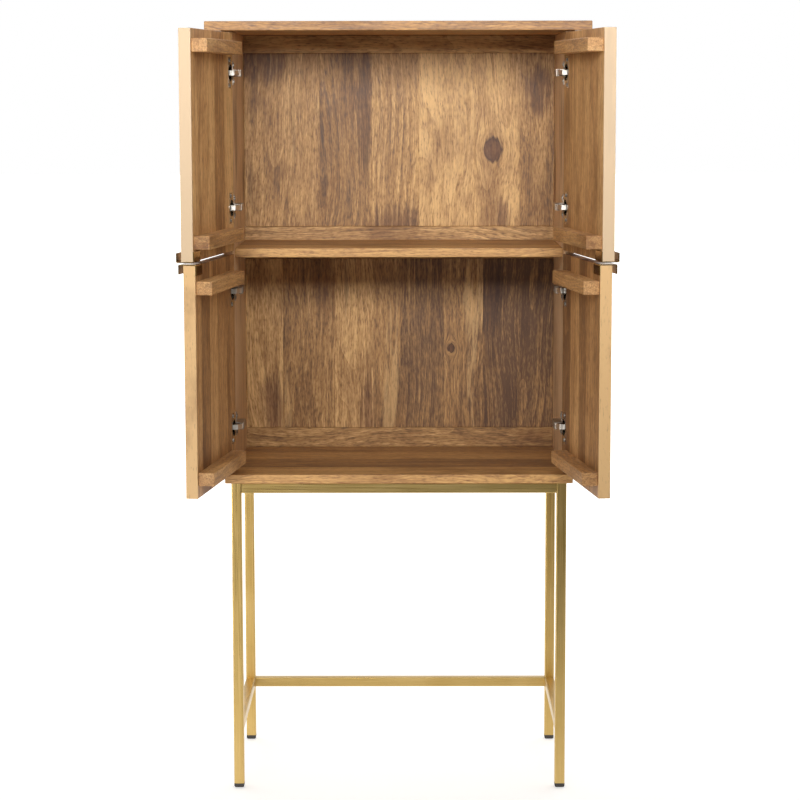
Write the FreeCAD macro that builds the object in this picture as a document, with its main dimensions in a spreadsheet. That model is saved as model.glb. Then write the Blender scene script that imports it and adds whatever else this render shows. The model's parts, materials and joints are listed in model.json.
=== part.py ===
"""A tall mango-wood bar cabinet on a square-tube stand, with four doors open on cup hinges.

+Z is up, the front faces -Y and lengths are millimetres. The origin is on the floor, under the
middle of the object's box with its doors open. Hinge work is drawn in a plan of its own: u runs
from the outer face of a side board towards the middle, v runs forward from the side's front edge.
"""
import FreeCAD, Part
import math
import os
from types import SimpleNamespace

SIZES = [
    ("top_overhang", 31, "top board beyond the side boards"),
    ("top_depth", 400, "top board, front to back"),
    ("top_thickness", 18, "top board"),
    ("top_lip", 1, "top board ahead of the closed doors"),
    ("body_width", 688, "across the outer faces of the sides"),
    ("side_thickness", 18, "side boards"),
    ("bottom_thickness", 18, "bottom board"),
    ("opening_height", 868, "clear height from bottom board to top board"),
    ("lower_bay_height", 424, "clear height under the shelf"),
    ("shelf_thickness", 18, "shelf board"),
    ("shelf_setback", 63, "shelf front behind the side fronts"),
    ("edge_ease", 1.5, "small chamfer along board edges"),
    ("back_recess", 6, "back planks in from the rear edges of the sides"),
    ("plank_thickness", 12, "back planks"),
    ("rail_proud", 1.5, "back rails ahead of the planks"),
    ("top_rail_height", 36, "back rail under the top"),
    ("middle_rail_above", 28, "back rail above the shelf"),
    ("middle_rail_below", 22, "back rail below the shelf"),
    ("bottom_rail_height", 42, "back rail on the bottom board"),
    ("door_thickness", 22, "door panels"),
    ("door_gap", 2, "door inner face ahead of the side fronts"),
    ("door_reveal", 1, "door edge in from the side's outer face"),
    ("centre_gap", 3, "between left and right doors"),
    ("door_top_gap", 4, "under the top board"),
    ("door_bottom_gap", 5, "over the bottom board"),
    ("door_middle_gap", 7, "between upper and lower doors"),
    ("lower_door_height", 430, "lower doors; the upper ones fill what is left"),
    ("upper_open_angle", 98.5, "how far the upper doors stand open, degrees"),
    ("lower_open_angle", 97.8, "how far the lower doors stand open, degrees"),
    ("batten_depth", 30, "battens, off the door"),
    ("batten_height", 25, "battens, up the door"),
    ("batten_free_setback", 6, "batten end in from the free edge"),
    ("batten_hinge_setback", 45, "batten end in from the hinge edge"),
    ("upper_batten_top_inset", 18, "upper doors, top batten below the door's top"),
    ("upper_batten_bottom_inset", 22, "upper doors, bottom batten above the door's bottom"),
    ("lower_batten_top_inset", 29, "lower doors, top batten below the door's top"),
    ("lower_batten_bottom_inset", 23, "lower doors, bottom batten above the door's bottom"),
    ("handle_length", 50, "handle, along the door edge"),
    ("handle_plate", 2, "handle plate thickness"),
    ("handle_end_setback", 1, "handle end in from the free edge"),
    ("handle_finger_gap", 8, "between the door's outer face and the lip"),
    ("handle_lip_height", 18, "handle lip, from the outside of the bend"),
    ("handle_leaf_height", 18, "handle leaf up the inner face"),
    ("handle_bend", 2.5, "outer radius of the handle's bends"),
    ("upper_hinge_top_inset", 77, "upper doors, top hinge below the door's top"),
    ("upper_hinge_bottom_inset", 84, "upper doors, bottom hinge above the door's bottom"),
    ("lower_hinge_top_inset", 72, "lower doors, top hinge below the door's top"),
    ("lower_hinge_bottom_inset", 89, "lower doors, bottom hinge above the door's bottom"),
    ("cup_radius", 17.5, "hinge cup"),
    ("cup_depth", 12, "hinge cup, into the door"),
    ("cup_wall", 1.2, "hinge cup"),
    ("cup_edge", 3, "wood left between cup and door edge"),
    ("cup_rim", 1, "hinge cup's rim and flange, on the door face"),
    ("cup_rim_width", 1, "rim beyond the cup"),
    ("flange_height", 60, "cup flange, up the door"),
    ("flange_width", 20, "cup flange, along the door"),
    ("flange_screw_spacing", 48, "between a flange's two screws"),
    ("flange_screw_offset", 6, "flange screws beyond the cup's centre"),
    ("bore_clearance", 0.1, "between cup and bore, all round"),
    ("lug_radius", 2.6, "pin lugs in the cup, half their width"),
    ("lug_thickness", 3, "pin lugs in the cup"),
    ("pin_radius", 1.5, "hinge pins"),
    ("pin_clearance", 0.1, "round a hinge pin"),
    ("link_width", 9.6, "hinge link, along its pins"),
    ("link_half_width", 2, "hinge link, half its breadth between pins"),
    ("link_eye", 2.6, "hinge link, round a pin"),
    ("link_side_clearance", 0.2, "between link and arm cheek or cup lug"),
    ("link_elbow_along", 16.5, "elbow of the link, from the arm pin towards the cup pin"),
    ("link_elbow_out", 6, "elbow of the link, off the line between its pins"),
    ("link_ratio", 0.345, "link's turn for each degree of the door's"),
    ("arm_pivot_in", 14.5, "arm pin in from the side's inner face"),
    ("arm_pivot_out", 0.5, "arm pin ahead of the side's front edge"),
    ("cup_pivot_edge", 10.2, "cup pin in from the door's hinge edge"),
    ("cup_pivot_depth", 2.8, "cup pin under the door's inner face"),
    ("arm_length", 62, "hinge arm behind the side's front edge"),
    ("arm_height", 16, "hinge arm off its plate"),
    ("arm_wall", 1.5, "hinge arm cheeks and web"),
    ("arm_nose", 3, "rounded end of the hinge arm's cheeks"),
    ("arm_web_setback", 7, "arm's web behind the side's front edge"),
    ("plate_thickness", 2.5, "hinge mounting plate"),
    ("plate_length", 32, "hinge mounting plate, front to back"),
    ("plate_line", 37, "mounting screws behind the side's front edge"),
    ("plate_screw_spacing", 32, "between a plate's two screws"),
    ("plate_wing_height", 46, "mounting plate's wings, tip to tip"),
    ("plate_wing_width", 14, "mounting plate's wings"),
    ("plate_ridge_height", 6, "ridge that the arm clips over"),
    ("screw_radius", 1.75, "wood screw shank"),
    ("screw_length", 14, "wood screw under its head"),
    ("screw_head_radius", 3.5, "wood screw head"),
    ("screw_head_height", 1.6, "wood screw head"),
    ("tube", 20, "stand's square tube"),
    ("tube_wall", 1.5, "stand's tube wall"),
    ("tube_corner", 2, "outer corner radius of the tube"),
    ("stand_side_inset", 12, "legs in from the side boards"),
    ("stand_end_inset", 5.5, "legs in from the front and back of the bottom board"),
    ("leg_length", 611, "leg tube above its foot"),
    ("stretcher_height", 126.5, "stretchers' centre above the floor"),
    ("foot_height", 9, "foot cap under the leg"),
    ("foot_dome", 5, "rounding under the foot cap"),
    ("foot_plug", 16, "foot cap's plug up the leg"),
    ("plug_clearance", 0.1, "round the foot cap's plug"),
    ("bolt_radius", 2.5, "stand bolts"),
    ("bolt_bite", 12, "stand bolts into the bottom board"),
    ("bolt_head_radius", 4.5, "stand bolts' heads"),
    ("bolt_head_height", 3, "stand bolts' heads"),
    ("bolt_spacing", 220, "between the two bolts of one side rail"),
    ("bolt_clearance", 0.3, "round a stand bolt in its rail"),
    ("upper_plank_1", 159, "back planks of the upper bay, from the left; the last fills the width"),
    ("upper_plank_2", 110, "upper bay"),
    ("upper_plank_3", 99, "upper bay"),
    ("upper_plank_4", 116, "upper bay"),
    ("upper_plank_5", 95, "upper bay"),
    ("lower_plank_1", 79, "back planks of the lower bay, from the left; the last fills the width"),
    ("lower_plank_2", 110, "lower bay"),
    ("lower_plank_3", 82, "lower bay"),
    ("lower_plank_4", 57, "lower bay"),
    ("lower_plank_5", 93, "lower bay"),
    ("lower_plank_6", 82, "lower bay"),
    ("lower_plank_7", 78, "lower bay"),
]

FITS = [
    ("top_width", "=Size.body_width + 2 * Size.top_overhang"),
    ("body_foot", "=Size.foot_height + Size.leg_length"),
    ("bay_floor", "=body_foot + Size.bottom_thickness"),
    ("top_underside", "=bay_floor + Size.opening_height"),
    ("door_reach", "=Size.door_gap + Size.door_thickness"),
    ("side_depth", "=Size.top_depth - Size.top_lip - door_reach"),
    ("bottom_depth", "=side_depth + door_reach"),
    ("bay_width", "=Size.body_width - 2 * Size.side_thickness"),
    ("plank_face", "=side_depth - Size.back_recess - Size.plank_thickness"),
    ("rail_face", "=plank_face - Size.rail_proud"),
    ("rail_thickness", "=Size.plank_thickness + Size.rail_proud"),
    ("shelf_depth", "=rail_face - Size.shelf_setback"),
    ("shelf_under", "=bay_floor + Size.lower_bay_height"),
    ("shelf_top", "=shelf_under + Size.shelf_thickness"),
    ("middle_rail_height", "=Size.middle_rail_above + Size.shelf_thickness + Size.middle_rail_below"),
    ("lower_plank_height", "=Size.lower_bay_height - Size.bottom_rail_height - Size.middle_rail_below"),
    ("upper_plank_height", "=top_underside - shelf_top - Size.middle_rail_above - Size.top_rail_height"),
    ("door_gaps", "=Size.door_top_gap + Size.door_middle_gap + Size.door_bottom_gap"),
    ("upper_door_height", "=Size.opening_height - door_gaps - Size.lower_door_height"),
    ("lower_door_height", "=Size.lower_door_height"),
    ("door_width", "=(Size.body_width - Size.centre_gap) / 2 - Size.door_reveal"),
    ("batten_length", "=door_width - Size.batten_hinge_setback - Size.batten_free_setback"),
    ("handle_depth", "=Size.door_thickness + Size.handle_finger_gap + 2 * Size.handle_plate"),
    ("handle_leaf", "=Size.handle_leaf_height + Size.handle_plate"),
    ("cup_inside", "=Size.cup_radius - Size.cup_wall"),
    ("cup_rim_radius", "=Size.cup_radius + Size.cup_rim_width"),
    ("cup_cavity", "=Size.cup_depth - Size.cup_wall + Size.cup_rim"),
    ("bore_radius", "=Size.cup_radius + Size.bore_clearance"),
    ("bore_depth", "=Size.cup_depth + Size.bore_clearance"),
    ("pin_bore", "=Size.pin_radius + Size.pin_clearance"),
    ("arm_channel", "=Size.link_width + 2 * Size.link_side_clearance"),
    ("arm_width", "=arm_channel + 2 * Size.arm_wall"),
    ("lug_span", "=arm_channel + 2 * Size.lug_thickness"),
    ("screw_bore", "=Size.screw_radius + Size.pin_clearance"),
    ("ridge_width", "=arm_channel - 2 * Size.link_side_clearance"),
    ("stand_width", "=Size.body_width - 2 * Size.stand_side_inset"),
    ("stand_depth", "=bottom_depth - 2 * Size.stand_end_inset"),
    ("cross_rail", "=stand_width - 2 * Size.tube"),
    ("long_rail", "=stand_depth - 2 * Size.tube"),
    ("tube_bore", "=Size.tube - 2 * Size.tube_wall"),
    ("plug_width", "=tube_bore - 2 * Size.plug_clearance"),
    ("bolt_shank", "=Size.tube + Size.bolt_bite"),
    ("bolt_bore", "=Size.bolt_radius + Size.bolt_clearance"),
]

SHANK_SIDES = 6
HEAD_SIDES = 6
PIN_SIDES = 12
CUP_SIDES = 20

doc = FreeCAD.newDocument("bar_cabinet")


def fill_sheet(name, rows):
    """A spreadsheet with one alias per row, and what each row holds beside it."""
    sheet = doc.addObject("Spreadsheet::Sheet", name)
    for number, (alias, value, *meaning) in enumerate(rows, 1):
        sheet.set("A%d" % number, meaning[0] if meaning else alias)
        sheet.set("B%d" % number, str(value))
        sheet.setAlias("B%d" % number, alias)
    doc.recompute()
    return {row[0]: float(sheet.get(row[0])) for row in rows}


mm = SimpleNamespace(**fill_sheet("Size", SIZES))
mm.__dict__.update(fill_sheet("Fit", FITS))
finished = []


def keep(piece, label):
    """Name a finished sub-part; its label names its file."""
    piece.Label = label
    finished.append(piece)
    return piece


# Ways of making pieces


def bound(kind, name, formulas, corner=(0, 0, 0), turn=None):
    """A document object with its sizes bound to the sheets, set down at a corner."""
    piece = doc.addObject(kind, name)
    for size, formula in formulas.items():
        piece.setExpression(size, formula)
    piece.Placement = FreeCAD.Placement(FreeCAD.Vector(*corner), turn or FreeCAD.Rotation())
    return piece


def block(name, length, width, height, corner):
    return bound("Part::Box", name, {"Length": length, "Width": width, "Height": height}, corner)


def faceted(name, sides, radius, height, foot, turn=None):
    """A screw, pin or cup, or the hole for one: round work that repeats, drawn with few sides."""
    prism = bound("Part::Prism", name, {"Circumradius": radius, "Height": height}, foot, turn)
    prism.Polygon = sides
    return prism


def joined(name, pieces):
    piece = doc.addObject("Part::MultiFuse", name)
    piece.Shapes = pieces
    return piece


def cut(name, base, *tools):
    piece = doc.addObject("Part::Cut", name)
    piece.Base = base
    piece.Tool = tools[0] if len(tools) == 1 else joined(name + "_tools", list(tools))
    return piece


def copies(label, master, places):
    """Separate solids of one kind, as links to a master piece at each place."""
    links = []
    for place in places:
        link = doc.addObject("App::Link", label + "_copy")
        link.LinkedObject = master
        link.Placement = place.multiply(master.Placement)
        links.append(link)
    group = doc.addObject("Part::Compound", label)
    group.Links = links
    return keep(group, label)


def body_sketch(name, role):
    """A new body with a sketch on one of its own origin planes."""
    body = doc.addObject("PartDesign::Body", name)
    sketch = body.newObject("Sketcher::SketchObject", name + "_outline")
    plane = next(each for each in body.Origin.OriginFeatures if each.Role == role)
    sketch.AttachmentSupport = [(plane, "")]
    sketch.MapMode = "FlatFace"
    return body, sketch


def draw(sketch, corners):
    """A closed outline of straight lines; each corner's place is bound to a pair of formulas."""
    import Sketcher
    ends = [FreeCAD.Vector(*(float(sketch.evalExpression(each)) for each in corner), 0) for corner in corners]
    first = sketch.GeometryCount
    count = len(corners)
    for index in range(count):
        sketch.addGeometry(Part.LineSegment(ends[index], ends[(index + 1) % count]), False)
    for index, corner in enumerate(corners):
        line = first + index
        sketch.addConstraint(Sketcher.Constraint("Coincident", line, 2, first + (index + 1) % count, 1))
        for kind, axis, formula in (("DistanceX", -2, corner[0]), ("DistanceY", -1, corner[1])):
            if formula == "0":
                sketch.addConstraint(Sketcher.Constraint("PointOnObject", line, 1, axis))
                continue
            value = float(sketch.evalExpression(formula))
            made = sketch.addConstraint(Sketcher.Constraint(kind, -1, 1, line, 1, value))
            sketch.setExpression("Constraints[%d]" % made, formula)


def rectangle(length, width, margin="0"):
    """Corners of a rectangle from the origin, in from it by a margin."""
    if margin == "0":
        return [("0", "0"), (length, "0"), (length, width), ("0", width)]
    far_x, far_y = "%s - %s" % (length, margin), "%s - %s" % (width, margin)
    return [(margin, margin), (far_x, margin), (far_x, far_y), (margin, far_y)]


def pad(body, sketch, height):
    feature = body.newObject("PartDesign::Pad", body.Name + "_pad")
    feature.Profile = sketch
    feature.setExpression("Length", height)
    doc.recompute()
    return feature


def work_edges(body, feature, kind, size, formula, wanted=lambda edge: True):
    """Round or chamfer the edges of a feature that a test of the edge picks."""
    names = ["Edge%d" % number for number, edge in enumerate(feature.Shape.Edges, 1) if wanted(edge)]
    worked = body.newObject(kind, body.Name + "_edges")
    worked.Base = (feature, names)
    worked.setExpression(size, formula)
    doc.recompute()
    return worked


def round_over(body, feature, radius, wanted):
    return work_edges(body, feature, "PartDesign::Fillet", "Radius", radius, wanted)


def board(name, length, width, height, corner):
    """A planed board with its edges taken off: length along X, width along Y, height along Z."""
    body, sketch = body_sketch(name, "XY_Plane")
    draw(sketch, rectangle(length, width))
    work_edges(body, pad(body, sketch, height), "PartDesign::Chamfer", "Size", "Size.edge_ease")
    body.Placement.Base = FreeCAD.Vector(*corner)
    return body


def square_tube(name, length, corner, turn=None):
    """A length of square steel tube with rounded outer corners, drawn standing up."""
    body, sketch = body_sketch(name, "XY_Plane")
    draw(sketch, rectangle("Size.tube", "Size.tube"))
    draw(sketch, rectangle("Size.tube", "Size.tube", "Size.tube_wall"))
    run = pad(body, sketch, length)
    outer = (0.0, mm.tube)

    def long_outer_edge(edge):
        middle = edge.CenterOfMass
        upright = abs(edge.tangentAt(edge.FirstParameter).z) > 0.5
        return upright and round(middle.x, 3) in outer and round(middle.y, 3) in outer

    round_over(body, run, "Size.tube_corner", long_outer_edge)
    body.Placement = FreeCAD.Placement(FreeCAD.Vector(*corner), turn or FreeCAD.Rotation())
    return body


# Doors in plan, closed and open

ARM_PIN = (mm.side_thickness + mm.arm_pivot_in, mm.arm_pivot_out)
CUP_PIN = (mm.door_reveal + mm.cup_pivot_edge, mm.door_gap + mm.cup_pivot_depth)
PIN_SPAN = math.dist(ARM_PIN, CUP_PIN)
LINK_ANGLE = math.atan2(CUP_PIN[1] - ARM_PIN[1], CUP_PIN[0] - ARM_PIN[0])


def open_cup_pin(angle):
    """Where the cup pin goes as the door opens: round the arm pin, at the link's ratio."""
    turned = LINK_ANGLE - mm.link_ratio * math.radians(angle)
    return ARM_PIN[0] + PIN_SPAN * math.cos(turned), ARM_PIN[1] + PIN_SPAN * math.sin(turned)


def open_reach(angle):
    """How far an open door's free edge stands ahead of the side fronts, at either end of its chamfer."""
    swing = math.radians(angle)
    along = mm.door_width - mm.cup_pivot_edge
    ends = ((along - mm.edge_ease, -mm.cup_pivot_depth), (along, mm.edge_ease - mm.cup_pivot_depth))
    return open_cup_pin(angle)[1] + max(s * math.sin(swing) + d * math.cos(swing) for s, d in ends)


REACH = max(open_reach(mm.upper_open_angle), open_reach(mm.lower_open_angle))
FRONT = (REACH - mm.side_depth) / 2
LEFT, RIGHT = -1, 1


def in_plan(hand, u, v):
    """A point of the hinge plan, in the part's own frame."""
    return FreeCAD.Vector(hand * (mm.body_width / 2 - u), FRONT - v, 0)


def turned_about(hand, start, end, degrees):
    """The move that carries a plan point from start to end and turns the piece by degrees."""
    turn = FreeCAD.Rotation(FreeCAD.Vector(0, 0, 1), hand * degrees)
    return FreeCAD.Placement(in_plan(hand, *end) - turn.multVec(in_plan(hand, *start)), turn)


def at_side(hand, height):
    """Where a hinge drawn for the left side goes: on that side, or half turned on the right one."""
    turn = FreeCAD.Rotation(FreeCAD.Vector(0, 1, 0), 0 if hand == LEFT else 180)
    return FreeCAD.Placement(in_plan(hand, 0, 0) + FreeCAD.Vector(0, 0, height), turn)


# Carcass boards

half_body = mm.body_width / 2
half_bay = mm.bay_width / 2
keep(board("top", "Fit.top_width", "Size.top_depth", "Size.top_thickness",
           (-mm.top_width / 2, FRONT + mm.side_depth - mm.top_depth, mm.top_underside)), "top_panel")
keep(board("bottom", "Size.body_width", "Fit.bottom_depth", "Size.bottom_thickness",
           (-half_body, FRONT - mm.door_reach, mm.body_foot)), "bottom_panel")
for word, x in (("left", -half_body), ("right", half_bay)):
    keep(board(word + "_side", "Size.side_thickness", "Fit.side_depth", "Size.opening_height",
               (x, FRONT, mm.bay_floor)), word + "_side_panel")
keep(board("shelf", "Fit.bay_width", "Fit.shelf_depth", "Size.shelf_thickness",
           (-half_bay, FRONT + mm.shelf_setback, mm.shelf_under)), "middle_shelf")

# Back of the cabinet: three rails, and planks edge to edge between them

for label, height, foot in (
        ("back_top_rail", "Size.top_rail_height", mm.top_underside - mm.top_rail_height),
        ("back_middle_rail", "Fit.middle_rail_height", mm.shelf_under - mm.middle_rail_below),
        ("back_bottom_rail", "Size.bottom_rail_height", mm.bay_floor)):
    keep(block(label, "Fit.bay_width", "Fit.rail_thickness", height,
               (-half_bay, FRONT + mm.rail_face, foot)), label)


def back_planks(label, prefix, count, height, foot):
    """Planks from the left at their own widths; the last one fills what is left of the bay."""
    names = ["%s_%d" % (prefix, number) for number in range(1, count + 1)]
    widths = ["Size." + name for name in names]
    widths.append(" - ".join(["Fit.bay_width"] + widths))
    x = -half_bay
    planks = []
    for number, width in enumerate(widths):
        plank = block("%s_%d" % (label, number), width, "Size.plank_thickness", height,
                      (x, FRONT + mm.plank_face, foot))
        planks.append(plank)
        x += getattr(mm, names[number]) if number < count else 0
    group = doc.addObject("Part::Compound", label)
    group.Links = planks
    keep(group, label)


back_planks("upper_back_planks", "upper_plank", 5, "Fit.upper_plank_height",
            mm.shelf_top + mm.middle_rail_above)
back_planks("lower_back_planks", "lower_plank", 7, "Fit.lower_plank_height",
            mm.bay_floor + mm.bottom_rail_height)

# Stand of welded square tube, on plugged foot caps

stand_left = -mm.stand_width / 2
stand_right = mm.stand_width / 2 - mm.tube
stand_front = FRONT - mm.door_reach + mm.stand_end_inset
stand_back = stand_front + mm.stand_depth - mm.tube
rail_foot = mm.body_foot - mm.tube
stretcher_foot = mm.stretcher_height - mm.tube / 2
along_x = FreeCAD.Rotation(FreeCAD.Vector(1, 1, 1), 120)
along_y = FreeCAD.Rotation(FreeCAD.Vector(1, 1, 1), 240)

corners = {"front_left": (stand_left, stand_front), "front_right": (stand_right, stand_front),
           "back_left": (stand_left, stand_back), "back_right": (stand_right, stand_back)}
for word, (x, y) in corners.items():
    keep(square_tube(word + "_tube", "Size.leg_length", (x, y, mm.foot_height)), word + "_leg")
for label, y, z in (("stand_front_rail", stand_front, rail_foot), ("stand_back_rail", stand_back, rail_foot),
                    ("back_stretcher", stand_back, stretcher_foot)):
    keep(square_tube(label + "_tube", "Fit.cross_rail", (stand_left + mm.tube, y, z), along_x), label)

bolt_ends = [side * mm.bolt_spacing / 2 for side in (LEFT, RIGHT)]
bolt_middle = stand_front + mm.stand_depth / 2
bolt_places = []
for word, x in (("left", stand_left), ("right", stand_right)):
    keep(square_tube(word + "_stretcher_tube", "Fit.long_rail", (x, stand_front + mm.tube, stretcher_foot),
                     along_y), word + "_stretcher")
    rail = square_tube(word + "_rail_tube", "Fit.long_rail", (x, stand_front + mm.tube, rail_foot), along_y)
    spots = [(x + mm.tube / 2, bolt_middle + end, rail_foot) for end in bolt_ends]
    holes = [faceted(word + "_bolt_hole", SHANK_SIDES, "Fit.bolt_bore", "Size.tube", spot) for spot in spots]
    keep(cut(word + "_rail_drilled", rail, *holes), "stand_%s_rail" % word)
    bolt_places += [FreeCAD.Placement(FreeCAD.Vector(*spot), FreeCAD.Rotation()) for spot in spots]

bolt_head = faceted("bolt_head", HEAD_SIDES, "Size.bolt_head_radius", "Size.bolt_head_height",
                    (0, 0, -mm.bolt_head_height))
bolt_shank = faceted("bolt_shank", SHANK_SIDES, "Size.bolt_radius", "Fit.bolt_shank", (0, 0, 0))
bolt = joined("stand_bolt", [bolt_head, bolt_shank])
copies("stand_bolts", bolt, bolt_places)

foot, foot_sketch = body_sketch("foot", "XY_Plane")
draw(foot_sketch, rectangle("Size.tube", "Size.tube"))
foot_pad = pad(foot, foot_sketch, "Size.foot_height")
round_over(foot, foot_pad, "Size.foot_dome", lambda edge: edge.BoundBox.ZMax < 0.5 * mm.foot_height)
plug_inset = mm.tube_wall + mm.plug_clearance
foot_cap = joined("foot_cap", [foot, block("foot_plug", "Fit.plug_width", "Fit.plug_width", "Size.foot_plug",
                                           (plug_inset, plug_inset, mm.foot_height))])
copies("foot_caps", foot_cap, [FreeCAD.Placement(FreeCAD.Vector(x, y, 0), FreeCAD.Rotation())
                               for x, y in corners.values()])

# Cup hinge, drawn once for the left side at height zero: arm, plate, link, cup, pins and screws

forward = FreeCAD.Rotation(FreeCAD.Vector(1, 0, 0), 90)
inward = FreeCAD.Rotation(FreeCAD.Vector(0, 1, 0), 90)
plate_face = mm.side_thickness + mm.plate_thickness
half_arm = mm.arm_width / 2
half_channel = mm.arm_channel / 2
half_link = mm.link_width / 2


def upright_pin(name, radius, height, spot, length):
    """A bar along the hinge axis, centred on the hinge."""
    return faceted(name, PIN_SIDES, radius, height, (spot[0], -spot[1], -length / 2))


arm_box = block("arm_box", "Size.arm_height", "Size.arm_length - Size.arm_web_setback", "Fit.arm_width",
                (plate_face, mm.arm_web_setback, -half_arm))
nose_box = block("arm_nose_box", "2 * Size.arm_nose", "Size.arm_web_setback + Size.arm_pivot_out",
                 "Fit.arm_width", (ARM_PIN[0] - mm.arm_nose, -ARM_PIN[1], -half_arm))
nose_end = upright_pin("arm_nose_end", "Size.arm_nose", "Fit.arm_width", ARM_PIN, mm.arm_width)
arm_blank = joined("arm_blank", [arm_box, nose_box, nose_end])
channel = block("arm_channel_cut", "Size.arm_height - Size.arm_wall", "Size.arm_length", "Fit.arm_channel",
                (plate_face, 0, -half_channel))
mouth = block("arm_mouth_cut", "2 * Size.arm_height",
              "Size.arm_web_setback + Size.arm_pivot_out + 2 * Size.arm_nose", "Fit.arm_channel",
              (plate_face, -ARM_PIN[1] - 2 * mm.arm_nose, -half_channel))
arm_bore = upright_pin("arm_bore", "Fit.pin_bore", "Fit.arm_width", ARM_PIN, mm.arm_width)
hinge_arm = cut("hinge_arm", arm_blank, channel, mouth, arm_bore)
arm_pin = upright_pin("arm_pin", "Size.pin_radius", "Fit.arm_width", ARM_PIN, mm.arm_width)

plate_start = mm.plate_line - mm.plate_length / 2
plate_base = block("plate_base", "Size.plate_thickness", "Size.plate_length", "Fit.arm_width",
                   (mm.side_thickness, plate_start, -half_arm))
plate_wings = block("plate_wings", "Size.plate_thickness", "Size.plate_wing_width", "Size.plate_wing_height",
                    (mm.side_thickness, mm.plate_line - mm.plate_wing_width / 2, -mm.plate_wing_height / 2))
plate_ridge = block("plate_ridge", "Size.plate_ridge_height", "Size.plate_length", "Fit.ridge_width",
                    (plate_face, plate_start, -mm.ridge_width / 2))
plate_spots = [(plate_face, mm.plate_line, side * mm.plate_screw_spacing / 2) for side in (LEFT, RIGHT)]
plate_holes = [faceted("plate_hole", SHANK_SIDES, "Fit.screw_bore", "Size.plate_thickness",
                       (mm.side_thickness, y, z), inward) for _, y, z in plate_spots]
plate_blank = joined("plate_blank", [plate_base, plate_wings, plate_ridge])
mounting_plate = cut("mounting_plate", plate_blank, *plate_holes)

screw_shank = faceted("screw_shank", SHANK_SIDES, "Size.screw_radius", "Size.screw_length",
                      (0, 0, -mm.screw_length))
screw_head = faceted("screw_head", HEAD_SIDES, "Size.screw_head_radius", "Size.screw_head_height", (0, 0, 0))
wood_screw = joined("wood_screw", [screw_head, screw_shank])

# The link is a bar bent at an elbow, so that it clears the cup's rim when the door is open.
ahead = (math.cos(LINK_ANGLE), math.sin(LINK_ANGLE))
elbow = (ARM_PIN[0] + mm.link_elbow_along * ahead[0] + mm.link_elbow_out * ahead[1],
         ARM_PIN[1] + mm.link_elbow_along * ahead[1] - mm.link_elbow_out * ahead[0])


def link_bar(name, start, end):
    """A straight stretch of the link between two plan points."""
    angle = math.atan2(start[1] - end[1], end[0] - start[0])
    across = FreeCAD.Vector(-math.sin(angle), math.cos(angle), 0) * -mm.link_half_width
    bar = bound("Part::Box", name, {"Width": "2 * Size.link_half_width", "Height": "Size.link_width"})
    bar.Length = math.dist(start, end)
    bar.Placement = FreeCAD.Placement(FreeCAD.Vector(start[0], -start[1], -half_link) + across,
                                      FreeCAD.Rotation(FreeCAD.Vector(0, 0, 1), math.degrees(angle)))
    return bar


link_blank = joined("link_blank", [
    link_bar("link_back_bar", ARM_PIN, elbow), link_bar("link_front_bar", elbow, CUP_PIN),
    upright_pin("link_bend", "Size.link_half_width", "Size.link_width", elbow, mm.link_width),
    upright_pin("link_arm_eye", "Size.link_eye", "Size.link_width", ARM_PIN, mm.link_width),
    upright_pin("link_cup_eye", "Size.link_eye", "Size.link_width", CUP_PIN, mm.link_width)])
hinge_link = cut("hinge_link", link_blank, *[
    upright_pin("link_bore", "Fit.pin_bore", "Size.link_width", spot, mm.link_width)
    for spot in (ARM_PIN, CUP_PIN)])

cup_middle = mm.door_reveal + mm.cup_edge + mm.cup_radius
inner_face = -mm.door_gap
rim_face = inner_face + mm.cup_rim
cup_shell = faceted("cup_shell", CUP_SIDES, "Size.cup_radius", "Size.cup_depth",
                    (cup_middle, inner_face, 0), forward)
cup_rim = faceted("cup_rim", CUP_SIDES, "Fit.cup_rim_radius", "Size.cup_rim",
                  (cup_middle, rim_face, 0), forward)
flange_start = cup_middle + mm.flange_screw_offset - mm.flange_width / 2
cup_flange = block("cup_flange", "Size.flange_width", "Size.cup_rim", "Size.flange_height",
                   (flange_start, inner_face, -mm.flange_height / 2))
cup_hollow = faceted("cup_hollow", CUP_SIDES, "Fit.cup_inside", "Fit.cup_cavity",
                     (cup_middle, rim_face, 0), forward)
cup_dish = cut("cup_dish", joined("cup_blank", [cup_shell, cup_rim, cup_flange]), cup_hollow)
cup_lugs = [block("cup_lug", "2 * Size.lug_radius", "Size.cup_depth - Size.cup_wall / 2", "Size.lug_thickness",
                  (CUP_PIN[0] - mm.lug_radius, inner_face - mm.cup_depth + mm.cup_wall / 2, foot_z))
            for foot_z in (half_channel, -half_channel - mm.lug_thickness)]
flange_spots = [(cup_middle + mm.flange_screw_offset, rim_face, side * mm.flange_screw_spacing / 2)
                for side in (LEFT, RIGHT)]
cup_holes = [faceted("flange_hole", SHANK_SIDES, "Fit.screw_bore", "Size.cup_rim", spot, forward)
             for spot in flange_spots]
cup_pin_bore = upright_pin("cup_pin_bore", "Fit.pin_bore", "Fit.lug_span", CUP_PIN, mm.lug_span)
hinge_cup = cut("hinge_cup", joined("cup_with_lugs", [cup_dish] + cup_lugs), cup_pin_bore, *cup_holes)
cup_pin = upright_pin("cup_pin", "Size.pin_radius", "Fit.lug_span", CUP_PIN, mm.lug_span)

head_back = FreeCAD.Rotation(FreeCAD.Vector(1, 0, 0), -90)
plate_screw_places = [FreeCAD.Placement(FreeCAD.Vector(*spot), inward) for spot in plate_spots]
cup_screw_places = [FreeCAD.Placement(FreeCAD.Vector(*spot), head_back) for spot in flange_spots]

# Doors: a panel, two battens, a bent handle and two hinges each

floors = {"upper": mm.top_underside - mm.door_top_gap - mm.upper_door_height,
          "lower": mm.bay_floor + mm.door_bottom_gap}
side_places = []


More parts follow.
